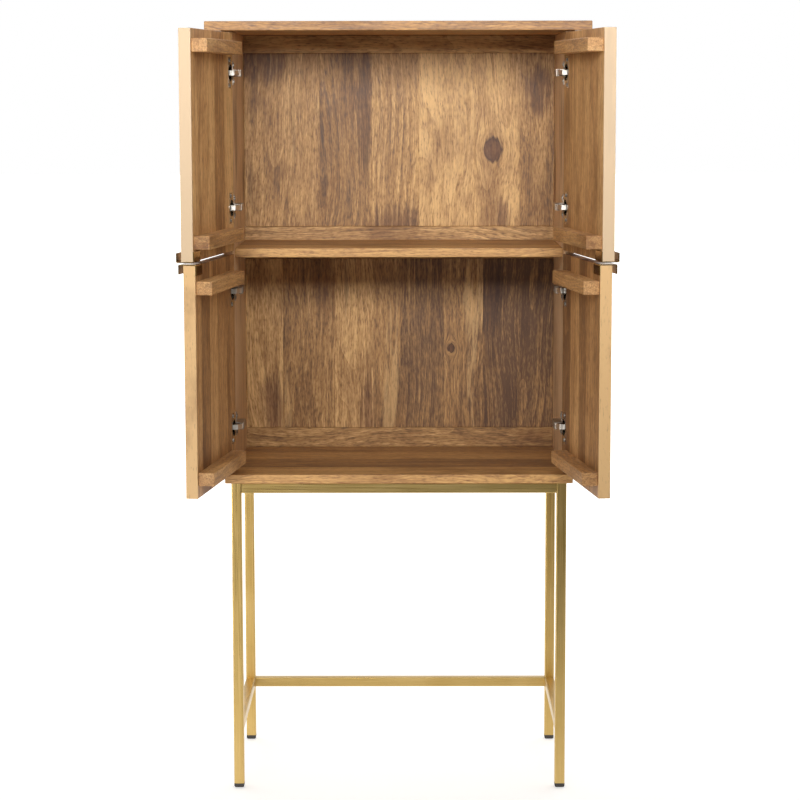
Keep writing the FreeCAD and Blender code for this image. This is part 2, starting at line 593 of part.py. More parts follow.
def bent_handle(name, hand, edge_height, rise):
    """A plate bent round the door's edge: leaf inside, web over the edge, lip outside; rise is +1 or -1."""
    body, sketch = body_sketch(name, "YZ_Plane")
    plate, depth = "Size.handle_plate", "Fit.handle_depth"
    lip, leaf = "Size.handle_lip_height", "Fit.handle_leaf"
    draw(sketch, [("0", "0"), (depth, "0"), (depth, leaf), ("%s - %s" % (depth, plate), leaf),
                  ("%s - %s" % (depth, plate), plate), (plate, plate), (plate, lip), ("0", lip)])
    blank = pad(body, sketch, "Size.handle_length")

    def outer_bend(edge):
        middle = edge.CenterOfMass
        lengthwise = abs(edge.tangentAt(edge.FirstParameter).x) > 0.5
        return lengthwise and middle.z < 0.5 * mm.handle_plate

    round_over(body, blank, "Size.handle_bend", outer_bend)
    free_edge = mm.centre_gap / 2 + mm.handle_end_setback
    start = -free_edge - mm.handle_length if hand == LEFT else free_edge
    front = FRONT - mm.door_reach - mm.handle_finger_gap - mm.handle_plate
    foot = FreeCAD.Vector(start, front, edge_height - mm.handle_plate)
    turn = FreeCAD.Rotation()
    if rise < 0:
        turn = FreeCAD.Rotation(FreeCAD.Vector(0, 1, 0), 180)
        foot = FreeCAD.Vector(start + mm.handle_length, front, edge_height + mm.handle_plate)
    return body, FreeCAD.Placement(foot, turn)


for level in ("upper", "lower"):
    height = "Fit.%s_door_height" % level
    tall = getattr(mm, level + "_door_height")
    angle = getattr(mm, level + "_open_angle")
    floor = floors[level]
    ceiling = floor + tall
    hinges = [floor + getattr(mm, level + "_hinge_bottom_inset"),
              ceiling - getattr(mm, level + "_hinge_top_inset")]
    for word, hand in (("left", LEFT), ("right", RIGHT)):
        door = "%s_%s_door" % (level, word)
        swing = turned_about(hand, CUP_PIN, open_cup_pin(angle), angle)
        link_turn = turned_about(hand, ARM_PIN, ARM_PIN, -mm.link_ratio * angle)
        spots = [at_side(hand, z) for z in hinges]
        side_places += spots

        x = -half_body + mm.door_reveal if hand == LEFT else mm.centre_gap / 2
        blank = board(door + "_board", "Fit.door_width", "Size.door_thickness", height,
                      (x, FRONT - mm.door_reach, floor))
        bores = []
        for z in hinges:
            middle = in_plan(hand, cup_middle, mm.door_gap)
            bores.append(faceted(door + "_bore", CUP_SIDES, "Fit.bore_radius", "Fit.bore_depth",
                                 (middle.x, middle.y, z), forward))
        panel = cut(door + "_bored", blank, *bores)
        panel.Placement = swing
        keep(panel, door + "_panel")

        batten_start = x + (mm.batten_hinge_setback if hand == LEFT else mm.batten_free_setback)
        for place, z in (("top", ceiling - getattr(mm, level + "_batten_top_inset") - mm.batten_height),
                         ("bottom", floor + getattr(mm, level + "_batten_bottom_inset"))):
            batten = board("%s_%s_batten" % (door, place), "Fit.batten_length", "Size.batten_depth",
                           "Size.batten_height", (batten_start, FRONT - mm.door_gap, z))
            batten.Placement = swing.multiply(batten.Placement)
            keep(batten, "%s_%s_batten" % (door, place))

        edge, rise = (floor, 1) if level == "upper" else (ceiling, -1)
        handle, seat = bent_handle(door + "_grip", hand, edge, rise)
        handle.Placement = swing.multiply(seat)
        keep(handle, door + "_handle")

        on_door = [swing.multiply(spot) for spot in spots]
        copies(door + "_hinge_cups", hinge_cup, on_door)
        copies(door + "_cup_pins", cup_pin, on_door)
        copies(door + "_cup_screws", wood_screw,
               [spot.multiply(place) for spot in on_door for place in cup_screw_places])
        copies(door + "_hinge_links", hinge_link, [link_turn.multiply(spot) for spot in spots])

copies("hinge_arms", hinge_arm, side_places)
copies("hinge_arm_pins", arm_pin, side_places)
copies("hinge_mounting_plates", mounting_plate, side_places)
copies("mounting_plate_screws", wood_screw,
       [spot.multiply(place) for spot in side_places for place in plate_screw_places])

# Check the document, then write one file for each sub-part

doc.recompute()
for item in doc.Objects:
    if "Invalid" in item.State or "Error" in item.State:
        raise RuntimeError("%s did not build: %s" % (item.Label, item.State))
for piece in finished:
    if piece.Shape.isNull() or not piece.Shape.isValid():
        raise RuntimeError("%s has no valid shape" % piece.Label)

os.makedirs("parts", exist_ok=True)
for piece in finished:
    piece.Shape.exportStep("parts/%s.step" % piece.Label)
print("%d sub-parts written" % len(finished))
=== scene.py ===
"""A tall mango-wood bar cabinet on a brass-finished tube stand, its four doors standing open.

Metres, +Z up, the front faces -Y. The sections follow the cabinet as it is put together.
"""
import json
import math

import bpy
import numpy as np
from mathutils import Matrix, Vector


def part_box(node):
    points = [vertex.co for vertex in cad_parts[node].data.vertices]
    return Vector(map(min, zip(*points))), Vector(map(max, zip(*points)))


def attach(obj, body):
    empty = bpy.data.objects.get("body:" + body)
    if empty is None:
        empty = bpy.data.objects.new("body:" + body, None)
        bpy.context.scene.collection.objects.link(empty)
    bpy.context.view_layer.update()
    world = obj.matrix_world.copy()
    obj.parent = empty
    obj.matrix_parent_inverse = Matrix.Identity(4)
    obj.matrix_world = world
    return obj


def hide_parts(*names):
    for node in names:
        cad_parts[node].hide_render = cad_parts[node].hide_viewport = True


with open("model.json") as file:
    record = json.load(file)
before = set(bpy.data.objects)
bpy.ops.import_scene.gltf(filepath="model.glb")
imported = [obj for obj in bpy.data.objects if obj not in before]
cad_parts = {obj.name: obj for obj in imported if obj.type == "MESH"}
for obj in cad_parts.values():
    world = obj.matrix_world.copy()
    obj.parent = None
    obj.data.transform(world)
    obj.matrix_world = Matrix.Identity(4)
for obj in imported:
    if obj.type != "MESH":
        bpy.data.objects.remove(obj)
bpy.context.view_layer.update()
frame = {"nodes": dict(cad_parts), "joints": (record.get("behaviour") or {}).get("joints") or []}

# Stand: legs, rails and stretchers of 20 mm square steel tube, welded, ground flush and given a
# satin brass finish. The tubes are the solids themselves.


def linear(code):
    """An sRGB hex colour as linear red, green, blue and alpha."""
    parts = np.array([int(code[i:i + 2], 16) for i in (1, 3, 5)]) / 255
    low = parts / 12.92
    high = ((parts + 0.055) / 1.055) ** 2.4
    return (*np.where(parts <= 0.04045, low, high).tolist(), 1.0)


def wire(tree, node, links):
    """Set a node's sockets to values, or link them from a socket or from a node's first live output."""
    for socket, value in links.items():
        if isinstance(value, bpy.types.Node):
            value = next(output for output in value.outputs if output.enabled)
        if isinstance(value, bpy.types.NodeSocket):
            tree.links.new(value, node.inputs[socket])
        else:
            node.inputs[socket].default_value = value


def add(tree, kind, links=None, stops=None, **settings):
    """Add a node with its settings, its links and, on a colour ramp, its stops from first to last."""
    made = tree.nodes.new("ShaderNode" + kind)
    for name, value in settings.items():
        setattr(made, name, value)
    if stops:
        ramp = made.color_ramp.elements
        for stop, (place, code) in zip(ramp, (stops[0], stops[-1])):
            stop.position = place
            stop.color = linear(code)
        for place, code in stops[1:-1]:
            ramp.new(place).color = linear(code)
    wire(tree, made, links or {})
    return made


def new_finish(name):
    """A new material, its node tree and its shader."""
    made = bpy.data.materials.new(name)
    made.use_nodes = True
    return made, made.node_tree, made.node_tree.nodes["Principled BSDF"]


def dress(nodes, material):
    """Give solids of the frame a material."""
    for node in nodes:
        data = frame["nodes"][node].data
        data.materials.clear()
        data.materials.append(material)


def satin_brass(name, run, tint, roughness):
    """Brushed brass: a warm metal with hair lines along the tube and slow cloudy wear.

    run holds how often the lines repeat along X, Y and Z, in cycles to the metre. Lines times clouds,
    which are 110 mm wide, give the colour between the two tints. The lines alone give the roughness
    and a faint relief.
    """
    made, tree, shader = new_finish(name)
    place = add(tree, "TexCoord").outputs["Object"]
    along = add(tree, "VectorMath", {0: place, 1: run}, operation="MULTIPLY")
    lines = add(tree, "TexNoise", {"Vector": along, "Scale": 1.0, "Detail": 3.0})
    cloud = add(tree, "TexNoise", {"Vector": place, "Scale": 9.0, "Detail": 3.0})
    worn = add(tree, "Math", {0: lines, 1: cloud}, operation="MULTIPLY")
    shade = add(tree, "ValToRGB", {"Fac": worn}, [(0.12, tint[0]), (0.42, tint[1])])
    rough = add(tree, "MapRange", {"Value": lines, "From Min": 0.3, "From Max": 0.7,
                                   "To Min": roughness - 0.06, "To Max": roughness + 0.08})
    bump = add(tree, "Bump", {"Height": lines, "Strength": 0.08, "Distance": 0.0002})
    wire(tree, shader, {"Base Color": shade, "Roughness": rough, "Normal": bump, "Metallic": 1.0})
    return made


# Hair lines are 0.8 mm apart, coarser than a real brush leaves them, so that close views show them.
# They fade out over about 140 mm.
HAIR, FADE = 1250.0, 7.0
SATIN = 0.31
LEG_TINT = ("#c0a05c", "#d5b678")
# The rails' brass is a darker copy of the legs' brass: painted shade standing in for the darker reflections
# the rails catch.
RAIL_TINT_PAINTED_SHADE = ("#b89a5a", "#cdb074")
dress(["front_left_leg", "front_right_leg", "back_left_leg", "back_right_leg"],
      satin_brass("satin_brass_legs", (HAIR, HAIR, FADE), LEG_TINT, SATIN))
dress(["stand_front_rail", "stand_back_rail", "back_stretcher"],
      satin_brass("satin_brass_cross_rails_painted_shade", (FADE, HAIR, HAIR), RAIL_TINT_PAINTED_SHADE, SATIN))
dress(["stand_left_rail", "stand_right_rail", "left_stretcher", "right_stretcher"],
      satin_brass("satin_brass_side_rails_painted_shade", (HAIR, FADE, HAIR), RAIL_TINT_PAINTED_SHADE, SATIN))

# Feet: moulded black plastic caps, domed underneath and plugged into the legs. A fine spark-eroded
# grain, here 1.5 mm so that it shows, breaks up their sheen.

moulded, tree, shader = new_finish("black_moulded_plastic")
place = add(tree, "TexCoord").outputs["Object"]
grit = add(tree, "TexNoise", {"Vector": place, "Scale": 650.0, "Detail": 2.0})
shade = add(tree, "ValToRGB", {"Fac": grit}, [(0.0, "#25211f"), (1.0, "#453f3b")])
bump = add(tree, "Bump", {"Height": grit, "Strength": 0.25, "Distance": 0.0002})
wire(tree, shader, {"Base Color": shade, "Normal": bump, "Roughness": 0.5})
dress(["foot_caps"], moulded)

# Carcass boards: mango wood planks, edge-glued, planed and oiled. The grain runs across the cabinet
# on the top, shelf and bottom, and upright on the sides. Outer edges are eased, joints are tight.

EASE = 0.0015
JOINT = 0.0003
LEAST_RADIUS = 1e-6
ARC_POINTS = 4


def wrapped(rows, count):
    """The faces of a closed skin: rows of count points, each a ring joined to the next, both ends capped.

    They are given as the corners of all faces in one array, and each face's number of corners.
    """
    index = np.arange(rows * count).reshape(rows, count)
    ahead = np.roll(index, -1, axis=1)
    quads = np.stack([index[:-1], ahead[:-1], ahead[1:], index[1:]], -1)
    corners = np.concatenate([quads.ravel(), index[0, ::-1], index[-1]])
    return corners, np.concatenate([np.full(quads.size // 4, 4), [count, count]])


def skin(name, points, corners, counts):
    """A mesh from points and faces as wrapped gives them."""
    mesh = bpy.data.meshes.new(name)
    mesh.from_pydata(points, [], np.split(corners, np.cumsum(counts)[:-1]))
    return mesh


def put(name, node, points, corners, counts, material, body):
    """Make a mesh piece that rides on a body, takes a finish and stands for a solid."""
    mesh = skin(name, points, corners, counts)
    mesh.materials.append(material)
    piece = bpy.data.objects.new(name, mesh)
    bpy.context.scene.collection.objects.link(piece)
    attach(piece, body)
    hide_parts(node)
    return piece


def plank(length, low, high, thick, open_low, open_high, ease):
    """One plank in its own axes: x along the grain, y across from low to high, z through.

    The section is a rectangle with a quarter circle at each corner, carried along the grain. Near
    each end it shrinks along a quarter circle too, except on a side that is glued to its neighbour.
    """
    turn = np.linspace(0, np.pi / 2, ARC_POINTS)
    near = ease * (1 - np.cos(turn))
    shrink = ease * (1 - np.sin(turn))
    inset = np.concatenate([shrink, shrink[::-1]])[:, None]
    x = np.concatenate([near, length - near[::-1]])[:, None]
    corner = np.repeat(np.arange(4), ARC_POINTS)
    angle = np.tile(turn, 4) + corner * np.pi / 2
    side = np.where((corner == 0) | (corner == 3), 1.0, -1.0)
    rise = np.where(corner < 2, 1.0, -1.0)
    outer = np.where(side > 0, open_high, open_low)
    radius = np.maximum(np.where(outer, ease, JOINT) - inset, LEAST_RADIUS)
    edge = np.where(side > 0, high, low) - side * inset * outer
    y = edge + radius * (np.cos(angle) - side)
    z = rise * (thick / 2 - inset - radius) + radius * np.sin(angle)
    points = np.stack(np.broadcast_arrays(x, y, z), -1)
    return (points.reshape(-1, 3), *wrapped(*points.shape[:2]))


NOWHERE = (-9.0, -9.0, 1.0, 1.0)
MARK_FADE = 4
LOG_LOW, LOG_HIGH = (-9, -0.05, 0.01), (9, 0.05, 0.07)


def glued_board(name, node, body, material, start, axes, length, widths, thick, seed, tones,
                knots=None, hearts=None, bores=None, ease=EASE, far=0.0):
    """A board of planks side by side from a start corner at mid thickness; axes are along, across, through.

    Each plank keeps its own stretch of a log in the attribute grain (its place in the wood, metres) and
    its lightness in tone. A knot or a patch of dark heartwood is given for a plank as its middle along
    and across and its half length and half width, and kept as the way from it in those half sizes. The
    tone changes by far from the face towards the through axis to the other face, and marks fade with it.
    """
    axes = np.array(axes)
    pick = np.random.default_rng(seed)
    ends = np.concatenate([[0], np.cumsum(widths)])
    points, corners, counts = [], [], []
    kept = {"grain": [], "knot": [], "heart": [], "tone": []}
    first = 0
    for number, (low, high) in enumerate(zip(ends, ends[1:])):
        own = plank(length, low, high, thick, number == 0, number == len(widths) - 1, ease)
        if bores and number == 0:
            own = bored(*own, bores)
        where = own[0]
        points.append(where)
        corners.append(own[1] + first)
        counts.append(own[2])
        first += len(where)
        under = far * (0.5 - where[:, 2:] / thick)
        kept["grain"].append(where + pick.uniform(LOG_LOW, LOG_HIGH) - (0, (low + high) / 2, 0))
        for mark, places in (("knot", knots), ("heart", hearts)):
            along, across, half_length, half_width = (places or {}).get(number, NOWHERE)
            flat = (where[:, :2] - (along, across)) / (half_length, half_width)
            kept[mark].append(np.column_stack([flat, MARK_FADE * under]))
        kept["tone"].append(tones[number] + under)
    corners = np.concatenate(corners)
    counts = np.concatenate(counts)
    if np.linalg.det(axes) < 0:
        corners, counts = corners[::-1], counts[::-1]
    piece = put(name, node, np.array(start) + np.concatenate(points) @ axes, corners, counts,
                material, body)
    for mark, values in kept.items():
        kind, field = ("FLOAT", "value") if mark == "tone" else ("FLOAT_VECTOR", "vector")
        values = np.concatenate(values).astype(np.float32).ravel()
        piece.data.attributes.new(mark, kind, "POINT").data.foreach_set(field, values)


def mango(name, pale, body, dark):
    """Oiled mango wood: warm brown with streaks drawn out along the grain, smoky patches and dark pores.

    Layers of noise along the grain add up to a lightness, which with the plank's tone picks a colour
    from dark to pale. Growth lines are contours of the slowest layer. Smoke, veins, heartwood, pores
    and, where the tone is over 1, pale sapwood are mixed over that. Grain flows round a knot, which
    has a dark rim. Pores are finer than a pixel, so they are drawn 3 mm wide to show.
    """
    made, tree, shader = new_finish(name)
    grain, knot, heart = (add(tree, "Attribute", attribute_name=mark).outputs["Vector"]
                          for mark in ("grain", "knot", "heart"))
    tone = add(tree, "Attribute", attribute_name="tone").outputs["Fac"]

    # The way round a knot, then a slow wander sideways of up to 27 mm.
    from_knot = add(tree, "VectorMath", {0: knot, 1: knot}, operation="DOT_PRODUCT")
    fall = add(tree, "Math", {0: from_knot, 1: -0.4}, operation="MULTIPLY")
    near = add(tree, "Math", {0: fall}, operation="EXPONENT")
    aside = add(tree, "VectorMath", {0: knot, 1: (0.0, -0.016, 0.0)}, operation="MULTIPLY")
    push = add(tree, "VectorMath", {0: aside, "Scale": near}, operation="SCALE")
    past_knot = add(tree, "VectorMath", {0: grain, 1: push}, operation="ADD")
    drawn = add(tree, "VectorMath", {0: past_knot, 1: (2.6, 8.0, 8.0)}, operation="MULTIPLY")
    slow = add(tree, "TexNoise", {"Vector": drawn, "Scale": 1.0, "Detail": 1.0, "Roughness": 0.5})
    off = add(tree, "VectorMath", {0: slow.outputs["Color"], 1: (0.5, 0.5, 0.5)}, operation="SUBTRACT")
    bent = add(tree, "VectorMath", {0: off, 1: (0.0, 0.055, 0.055), 2: past_knot}, operation="MULTIPLY_ADD")

    # Each layer has its cycles to the metre along and across the grain: bands 59 mm wide, streaks 7 mm,
    # fibres 2 mm, pores 3 mm, smoke 83 mm, veins 53 mm, and a 100 mm height for the growth lines.
    layers = {}
    for layer, along, across, detail, roughness in (
            ("band", 1.3, 17.0, 3.0, 0.55), ("streaks", 2.2, 150.0, 3.0, 0.6),
            ("fibre", 14.0, 480.0, 2.0, 0.7), ("pores", 70.0, 330.0, 2.0, 0.6),
            ("smoke", 4.5, 12.0, 5.0, 0.66), ("vein", 1.3, 19.0, 6.0, 0.62),
            ("height", 0.7, 10.0, 0.0, 0.6)):
        drawn = add(tree, "VectorMath", {0: bent, 1: (along, across, across)}, operation="MULTIPLY")
        layers[layer] = add(tree, "TexNoise", {"Vector": drawn, "Scale": 1.0, "Detail": detail,
                                               "Roughness": roughness})
    contours = add(tree, "Math", {0: layers["height"], 1: 16.0}, operation="MULTIPLY")
    lines = add(tree, "Math", {0: contours}, operation="FRACT")
    streaks, fibre, pores, smoke = (layers[layer] for layer in ("streaks", "fibre", "pores", "smoke"))

    # Weighted sums: the figure of the wood, its relief, the ragged edge of heartwood, the way from a
    # knot's middle, and pores that thin out as the wood gets paler.
    from_heart = add(tree, "VectorMath", {0: heart, 1: heart}, operation="DOT_PRODUCT")
    size = add(tree, "VectorMath", {0: knot}, operation="ABSOLUTE")
    reach = add(tree, "VectorMath", {0: size, 1: (1.0, 1.0, 0.0)}, operation="DOT_PRODUCT")
    sums = {}
    for total, value, terms in (
            ("figure", -0.565, ((lines, 0.2), (fibre, 0.8), (streaks, 0.6), (layers["band"], 0.6),
                                (pores, -0.8), (tone, 0.8))),
            ("relief", 0.0, ((lines, 0.2), (pores, -0.4), (fibre, 0.6))),
            ("ragged", from_heart, ((smoke, 3.2), (streaks, 3.2))),
            ("core", 0.0, ((reach, 0.25), (from_knot, 0.25), (streaks, 0.6))),
            ("sparse", pores, ((tone, -0.08),))):
        for term, weight in terms:
            value = add(tree, "Math", {0: term, 1: weight, 2: value}, operation="MULTIPLY_ADD")
        sums[total] = value

    # Smoky patches, pale veins, dark veins, heartwood, pores and sapwood, one over the other. Where a tone
    # is raised past 1 for painted light, as on the upper doors' lipping, the sapwood mix carries that
    # painted light too.
    colour = add(tree, "ValToRGB", {"Fac": sums["figure"]}, [(0.08, dark), (0.5, body), (0.92, pale)])
    for value, low, high, least, most, tint, kind in (
            (smoke, 0.5, 0.7, 0.0, 0.9, "#b9a89a", "MULTIPLY"),
            (layers["vein"], 0.33, 0.38, 0.5, 0.0, pale, "MIX"),
            (layers["vein"], 0.63, 0.68, 0.0, 0.5, dark, "MIX"),
            (sums["ragged"], 3.5, 4.5, 0.85, 0.0, "#a89691", "MULTIPLY"),
            (sums["sparse"], 0.52, 0.64, 0.0, 0.4, dark, "MIX"),
            (tone, 1.0, 2.0, 0.0, 1.0, "#cfb697", "MIX")):
        amount = add(tree, "MapRange", {"Value": value, "From Min": low, "From Max": high,
                                        "To Min": least, "To Max": most})
        colour = add(tree, "Mix", {"Factor": amount, "A": colour, "B": linear(tint)},
                     data_type="RGBA", blend_type=kind)
    rim = add(tree, "ValToRGB", {"Fac": sums["core"]},
              [(0.3, "#b19d94"), (0.6, "#a08b83"), (0.7, "#83706a"), (0.84, "#ffffff")])
    knotted = add(tree, "Mix", {"Factor": 1.0, "A": colour, "B": rim},
                  data_type="RGBA", blend_type="MULTIPLY")
    rough = add(tree, "MapRange", {"Value": fibre, "From Min": 0.3, "From Max": 0.7,
                                   "To Min": 0.44, "To Max": 0.62})
    bump = add(tree, "Bump", {"Height": sums["relief"], "Strength": 0.15, "Distance": 0.0003})
    wire(tree, shader, {"Base Color": knotted, "Roughness": rough, "Normal": bump, "IOR": 1.46})
    return made


X, Y, Z = np.eye(3)
board_wood = mango("mango_boards", "#d6a869", "#ae804e", "#6c4c33")


def box_of(node):
    """A solid's lowest and highest corners as arrays."""
    return tuple(np.array(corner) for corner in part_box(node))


def fitted(widths, space):
    """Planks' widths, in any unit, scaled to fill a space."""
    return np.array(widths) * space / sum(widths)


for node, widths, seed, tones in (
        ("top_panel", (105, 88, 112, 95), 16, (0.34, 0.4, 0.55, 0.3)),
        ("bottom_panel", (98, 110, 92, 99), 12, (0.7, 0.2, 0.58, 0.3)),
        ("middle_shelf", (102, 94, 97), 13, (0.7, 0.38, 0.48))):
    low, high = box_of(node)
    start = (low[0], low[1], (low[2] + high[2]) / 2)
    glued_board(node + "_wood", node, "cabinet", board_wood, start, (X, Y, Z),
                high[0] - low[0], fitted(widths, high[1] - low[1]), high[2] - low[2], seed, tones)

# The sides' wood and tones are paler than the other boards', and only their outer faces are taken darker
# again: the pale inner faces are painted light against the shade inside the cabinet.
SIDE_WIDTHS, SIDE_TONES_PAINTED_LIGHT = (92, 104, 85, 94), (1.0, 0.98, 1.0, 0.95)
SIDE_HEARTS = {0: (0.69, 0.085, 0.05, 0.03), 1: (0.66, 0.13, 0.09, 0.025), 3: (0.565, 0.33, 0.06, 0.03)}
OUTSIDE_WITHOUT_PAINTED_LIGHT = -0.65
side_wood_painted_light = mango("mango_sides_painted_light", "#e0be94", "#c59b72", "#7c5f49")
for node, seed, inward in (("left_side_panel", 14, X), ("right_side_panel", 15, -X)):
    low, high = box_of(node)
    start = ((low[0] + high[0]) / 2, low[1], low[2])
    glued_board(node + "_wood", node, "cabinet", side_wood_painted_light, start, (Z, Y, inward),
                high[2] - low[2], fitted(SIDE_WIDTHS, high[1] - low[1]), high[0] - low[0], seed, SIDE_TONES_PAINTED_LIGHT,
                hearts=SIDE_HEARTS, far=OUTSIDE_WITHOUT_PAINTED_LIGHT)

# Back: three rails along the bay and upright planks edge to edge between them, each sawn from a different
# board, so that tone and figure jump from plank to plank. The lower bay's planks also sit lower in tone
# overall than the upper bay's, which is painted shade for the darker lower bay.

back_wood = mango("mango_back_planks", "#dab176", "#a57b49", "#5c3f27")
for node, seed, shade in (("back_top_rail", 21, 0.85), ("back_middle_rail", 22, 0.46),
                          ("back_bottom_rail", 23, 0.46)):
    low, high = box_of(node)
    start = (low[0], (low[1] + high[1]) / 2, low[2])
    glued_board(node + "_wood", node, "cabinet", back_wood, start, (X, Z, Y), high[0] - low[0],
                [high[2] - low[2]], high[1] - low[1], seed, [shade])
for node, widths, seed, tones, knots, hearts in (
        ("upper_back_planks", (159, 110, 99, 116, 95, 73), 24, (0.44, 0.3, 0.48, 0.82, 0.7, 0.34),
         {4: (0.161, 0.522, 0.029, 0.023)},
         {0: (0.345, 0.03, 0.05, 0.07), 1: (0.27, 0.253, 0.16, 0.018), 2: (0.0, 0.32, 0.045, 0.06),
          4: (0.02, 0.545, 0.04, 0.018), 5: (0.28, 0.62, 0.05, 0.03)}),
        ("lower_back_planks", (79, 110, 82, 57, 93, 82, 78, 71), 25,
         (0.7, 0.38, 0.54, 0.38, 0.14, 0.28, -0.02, 0.05),
         {5: (0.17, 0.435, 0.012, 0.008)},
         {0: (0.05, 0.06, 0.07, 0.03), 2: (0.03, 0.26, 0.1, 0.02), 6: (0.27, 0.52, 0.09, 0.03)})):
    low, high = box_of(node)
    start = (low[0], (low[1] + high[1]) / 2, low[2])
    glued_board(node + "_wood", node, "cabinet", back_wood, start, (Z, X, Y), high[2] - low[2],
                fitted(widths, high[0] - low[0]), high[1] - low[1], seed, tones, knots, hearts)

# Hinges: nickel-plated pressed steel, satin on the links, arms and plates, polished on the cups. The one
# plating is drawn in three tones: pale on the links, which is painted light, and darker on the arms, plates
# and cups, which is painted shade. Plating leaves a pale, even metal with a faint orange peel of about 3
# mm.


def nickel(name, dull, bright, roughness):
    """Plated steel: two near tones in a 3 mm mottle, and a soft or sharp shine by its roughness."""
    made, tree, shader = new_finish(name)
    place = add(tree, "TexCoord").outputs["Object"]
    peel = add(tree, "TexNoise", {"Vector": place, "Scale": 330.0, "Detail": 2.0})
    shade = add(tree, "ValToRGB", {"Fac": peel}, [(0.0, dull), (1.0, bright)])
    bump = add(tree, "Bump", {"Height": peel, "Strength": 0.1, "Distance": 0.0003})
    wire(tree, shader, {"Base Color": shade, "Normal": bump, "Metallic": 1.0, "Roughness": roughness})
    return made


DOORS = [level + "_" + side for level in ("upper", "lower") for side in ("left", "right")]
dress([door + "_door_hinge_links" for door in DOORS],
      nickel("nickel_plate_painted_light", "#e2dccf", "#f6f1e8", 0.42))
dress(["hinge_arms", "hinge_mounting_plates"], nickel("satin_nickel_plate_painted_shade", "#9c948a", "#b3aba0", 0.38))
dress([door + "_door_hinge_cups" for door in DOORS],
      nickel("polished_nickel_plate_painted_shade", "#a8a298", "#bdb7ad", 0.12))

# Screws, pins and bolts: bright zinc-plated steel, duller than the nickel, with the fine mottle of
# the plating bath, drawn 1.4 mm wide so that close views show it.

zinc, tree, shader = new_finish("zinc_plated_steel")
place = add(tree, "TexCoord").outputs["Object"]
mottle = add(tree, "TexNoise", {"Vector": place, "Scale": 700.0, "Detail": 3.0})
shade = add(tree, "ValToRGB", {"Fac": mottle}, [(0.0, "#8f8b85"), (1.0, "#b8b3ab")])
wire(tree, shader, {"Base Color": shade, "Metallic": 1.0, "Roughness": 0.42})
dress(["hinge_arm_pins", "mounting_plate_screws", "stand_bolts"], zinc)
for door in DOORS:
    dress([door + "_door_cup_pins", door + "_door_cup_screws"], zinc)

# Doors: upright mango planks, edge-glued, with a pale lipping along the free edge and two bores for
# the hinge cups. Each hangs on its cup pin, turned open by its own angle.

OPEN = {"upper": 98.5, "lower": 97.8}
CUP_PIN_IN, CUP_PIN_UNDER = 0.0102, 0.0028
CUP_MIDDLE, CUP_HALF_HEIGHT = 0.0205, 0.03
BORE_RADIUS, BORE_DEPTH, BORE_SIDES = 0.0176, 0.0121, 48
DOOR_WIDTH, DOOR_THICK, DOOR_EASE = 0.3415, 0.022, 0.0003
DOOR_PLANKS = np.array((74, 82, 66, 71, 44.5, 4)) / 1000
# The upper doors' planks and lipping get higher tones than the lower doors': painted light on the upper
# doors, as if light from above fell more on them, and painted shade on the lower ones.
DOOR_TONES_PAINTED_LIGHT_AND_SHADE = {"upper": (0.32, 0.86), "lower": (-0.04, 0.64)}
LIPPING_TONE_PAINTED_LIGHT = {"upper": 1.85, "lower": 1.15}
door_wood = mango("mango_doors", "#dfb378", "#ba8956", "#775437")


def bored(points, corners, counts, bores):
    """Cut round bores into a plank from its inner face; each bore is a centre along and across.

    A drill is a circle carried from the bore's floor to a plank's thickness past mid thickness.
    """
    turn = np.linspace(0, 2 * np.pi, BORE_SIDES + 1)[:-1]
    circle = np.column_stack([BORE_RADIUS * np.cos(turn), BORE_RADIUS * np.sin(turn), np.zeros(BORE_SIDES)])
    meshes = [skin("plank", points, corners, counts)]
    for x, y in bores:
        rings = [circle + (x, y, z) for z in (DOOR_THICK / 2 - BORE_DEPTH, DOOR_THICK)]
        meshes.append(skin("drill", np.concatenate(rings), *wrapped(2, BORE_SIDES)))
    board, *drills = (bpy.data.objects.new(mesh.name, mesh) for mesh in meshes)
    for thing in (board, *drills):
        bpy.context.scene.collection.objects.link(thing)
    for drill in drills:
        cut = board.modifiers.new("bore", "BOOLEAN")
        cut.object = drill
        cut.solver = "EXACT"
    graph = bpy.context.evaluated_depsgraph_get()
    result = bpy.data.meshes.new_from_object(board.evaluated_get(graph))
    where = np.empty(len(result.vertices) * 3, np.float32)
    corners = np.empty(len(result.loops), np.int32)
    counts = np.empty(len(result.polygons), np.int32)
    result.vertices.foreach_get("co", where)
    result.loops.foreach_get("vertex_index", corners)
    result.polygons.foreach_get("loop_total", counts)
    for thing in (board, *drills):
        bpy.data.objects.remove(thing)
    for mesh in (result, *meshes):
        bpy.data.meshes.remove(mesh)
    return where.reshape(-1, 3).astype(float), corners, counts


